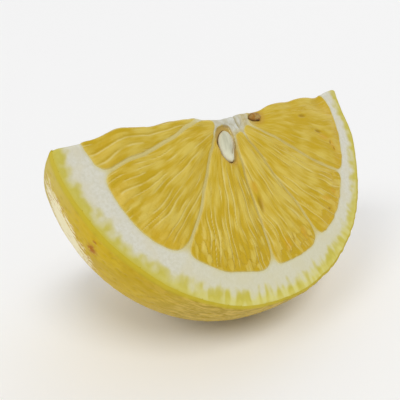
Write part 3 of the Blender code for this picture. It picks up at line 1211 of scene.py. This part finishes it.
def peel_material():
    """Waxy yellow skin with faint streaks, a painted highlight of pale glare on its left side, and a few
    brown marks.
    """
    s = Shader("peel")
    skin, place = s.read("skin", "Vector"), s.place()
    s.colour = s.blend(s.noise(place, 150, 3, 0.55), 0.38, 0.62, (196, 163, 2), (207, 174, 12))
    mottle = s.noise(skin, (0.45, 0.9, 1), 3, 0.6)
    s.paint(s.span(mottle, 0.48, 0.66, 0, 0.5), (214, 186, 44))
    bend = s.vector("MULTIPLY", s.noise(skin, (0.25, 0.25, 1), 1), (0, 3, 0))
    streak = s.noise(s.vector("ADD", s.vector("MULTIPLY", skin, (0.42, 1.5, 1)), bend), 1, 3, 0.6)
    # the lower peel: its own streaks, and painted darker and duller as painted shade and painted
    # reflection of the floor
    low = s.times(s.span("turn", 148, 124), s.span("turn", 50, 85))
    s.paint(s.times(low, 0.85), s.blend(streak, 0.4, 0.62, (172, 146, 36), (212, 184, 88)))
    end = s.times(s.span("turn", 160, 174), s.span("edge", 6, 1))
    s.paint(s.times(end, 0.7), (204, 186, 92))
    s.paint(s.times("pore", 0.32), (172, 140, 2))
    # painted highlight: the pale cream glare of the peel's left side, with a ragged edge
    highlight_edge_noise = s.noise(skin, (0.7, 1.3, 1), 3, 0.6)
    patch = s.times(s.span(s.plus("patch", s.swing(highlight_edge_noise, 2.4)), 0.25, 0.85), s.span("patch", 0, 0.3))
    s.paint(s.times(patch, 0.92), (247, 238, 198))
    fleck = s.span(s.noise(skin, (1.4, 2.4, 1), 2, 0.6), 0.54, 0.64)
    ring = s.times(s.span("patch", 0.05, 0.35), s.span("patch", 1, 0.7))
    s.paint(s.times(fleck, ring), (190, 142, 40))
    worn = s.span(s.noise(place, 1800, 3, 0.6), 0.35, 0.5)
    s.paint(s.times("blemish", worn), (174, 106, 0))
    scar = s.plus("stem", s.times(s.noise(place, 700, 3, 0.6), 2))
    s.paint(s.span(scar, 2.2, 3.6, 1, 0), (150, 124, 70))
    s.paint(s.span("edge", 0.1, s.span(low, 0, 1, 1, 0.5), 0.85, 0), (188, 170, 48))
    s.bump(s.noise(place, 2200), 0.04)
    return s.finish(0.45, 0.12)


def kernel_material():
    """Pale seed, cut through: greyish, with fine lengthwise stripes, and a painted highlight on its
    lower side and round its edge.
    """
    s = Shader("kernel")
    stripe = s.noise(s.read("grain", "Vector"), (2.2, 0.25, 1))
    s.colour = s.blend(stripe, 0.36, 0.62, (186, 185, 160), (200, 199, 174))
    # painted highlight: the kernel's lower side and its edge lighter
    s.paint(s.times("low", 0.9), (222, 220, 194))
    s.paint(s.times("side", s.minus(1, "low"), 0.8), (204, 184, 150))
    s.paint(s.span("inner", 0, 0.22, 0.6, 0), (220, 212, 184))
    # painted shade: the kernel's crease darkened
    s.paint(s.times("crease", 0.7), (158, 142, 98))
    return s.finish(0.4, 0.3)


def coat_material():
    """Thin brown seed coat, whose dark rim round the kernel is partly the coat and partly painted shadow
    of the gap there.
    """
    s = Shader("coat")
    stripe = s.noise(s.read("grain", "Vector"), 3)
    s.colour = s.blend(stripe, 0.4, 0.6, (128, 100, 52), (106, 82, 40))
    return s.finish(0.5, 0.2)


def small_seed_material():
    """Undeveloped brown seed with a paler middle, and painted shade on its lower end."""
    s = Shader("small_seed")
    mottle = s.noise(s.read("place", "Vector"), 1.4, 3, 0.6)
    s.colour = s.blend(mottle, 0.38, 0.62, (160, 110, 38), (170, 142, 82))
    s.paint(s.span("inner", 0.05, 0.6, 0.6, 0), (140, 92, 30))
    patchy = s.span(s.noise(s.read("grain", "Vector"), 0.8), 0.42, 0.55)
    # painted shade: the lower end darkened
    s.paint(s.times("low", patchy), (84, 58, 24))
    s.paint(s.span("inner", 0, 0.14, 0.55, 0), (98, 68, 28))
    return s.finish(0.45, 0.2)


# ---- stage

def add_floor():
    """A plain pale floor."""
    mesh = bpy.data.meshes.new("floor")
    corners = [(-1, -1), (1, -1), (1, 1), (-1, 1)]
    mesh.from_pydata([(x * FLOOR_HALF, y * FLOOR_HALF, 0) for x, y in corners], [], [(0, 1, 2, 3)])
    s = Shader("floor")
    s.colour = FLOOR_COLOUR
    mesh.materials.append(s.finish(0.9, 0.1))
    put_in_scene("floor", mesh)


def from_side(azimuth, rise):
    """The way from the wedge to a place seen at these angles in degrees."""
    a, e = math.radians(azimuth), math.radians(rise)
    return Vector((math.sin(a) * math.cos(e), -math.cos(a) * math.cos(e), math.sin(e)))


def add_sun(name, azimuth, rise, strength, softness):
    """A soft far light."""
    lamp = bpy.data.lights.new(name, "SUN")
    lamp.energy = strength
    lamp.angle = math.radians(softness)
    item = put_in_scene(name, lamp)
    item.rotation_mode = "QUATERNION"
    item.rotation_quaternion = (-from_side(azimuth, rise)).to_track_quat("-Z", "Y")


def add_world():
    """Even white light from all round."""
    world = bpy.data.worlds.new("studio")
    world.use_nodes = True
    background = world.node_tree.nodes["Background"]
    background.inputs["Color"].default_value = (1, 1, 1, 1)
    background.inputs["Strength"].default_value = WORLD_LIGHT
    bpy.context.scene.world = world


def add_camera():
    """The camera, looking at the middle of the wedge's front."""
    back = from_side(CAMERA_AZIMUTH, CAMERA_RISE)
    right = Vector((-back.y, back.x, 0)).normalized()
    above = back.cross(right)
    core = np.array((CORE_PLACE + (0,),)) * RADIUS
    aim = Vector(to_world(core)[0]) + AIM_FROM_CORE[0] * right + AIM_FROM_CORE[1] * above
    lens = bpy.data.cameras.new("camera")
    lens.sensor_width = 36
    lens.lens = lens.sensor_width / 2 / math.tan(CAMERA_VIEW / 2)
    lens.clip_start, lens.clip_end = 0.005, 100
    camera = put_in_scene("camera", lens)
    turn = Matrix((right, above, back)).transposed().to_4x4()
    camera.matrix_world = Matrix.Translation((aim + CAMERA_DISTANCE * back) * MM) @ turn
    bpy.context.scene.camera = camera


# ---- build

def dress(piece, material):
    """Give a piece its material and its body."""
    piece.data.materials.append(material)
    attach(piece, "root")


add_camera()
add_world()
for sun in SUNS:
    add_sun(*sun)
add_floor()

flesh = flesh_material()
for number in range(len(MEMBRANES) + 1):
    dress(add_segment(number), flesh)
dress(add_rind(), pith_material())
for name, loop, grow, base, rise, material in (
    ("seed_kernel", KERNEL_LOOP, 0, -0.28, 0.8, kernel_material),
    ("seed_coat", KERNEL_LOOP, COAT, -0.26, 0.2, coat_material),
    ("seed_small", SMALL_LOOP, 0, -0.04, 0.36, small_seed_material),
):
    dress(add_seed(name, loop, grow, base, rise), material())
peel = add_peel()
dress(peel, peel_material())
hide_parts("lemon_wedge")

bpy.context.scene.view_settings.view_transform = "Standard"
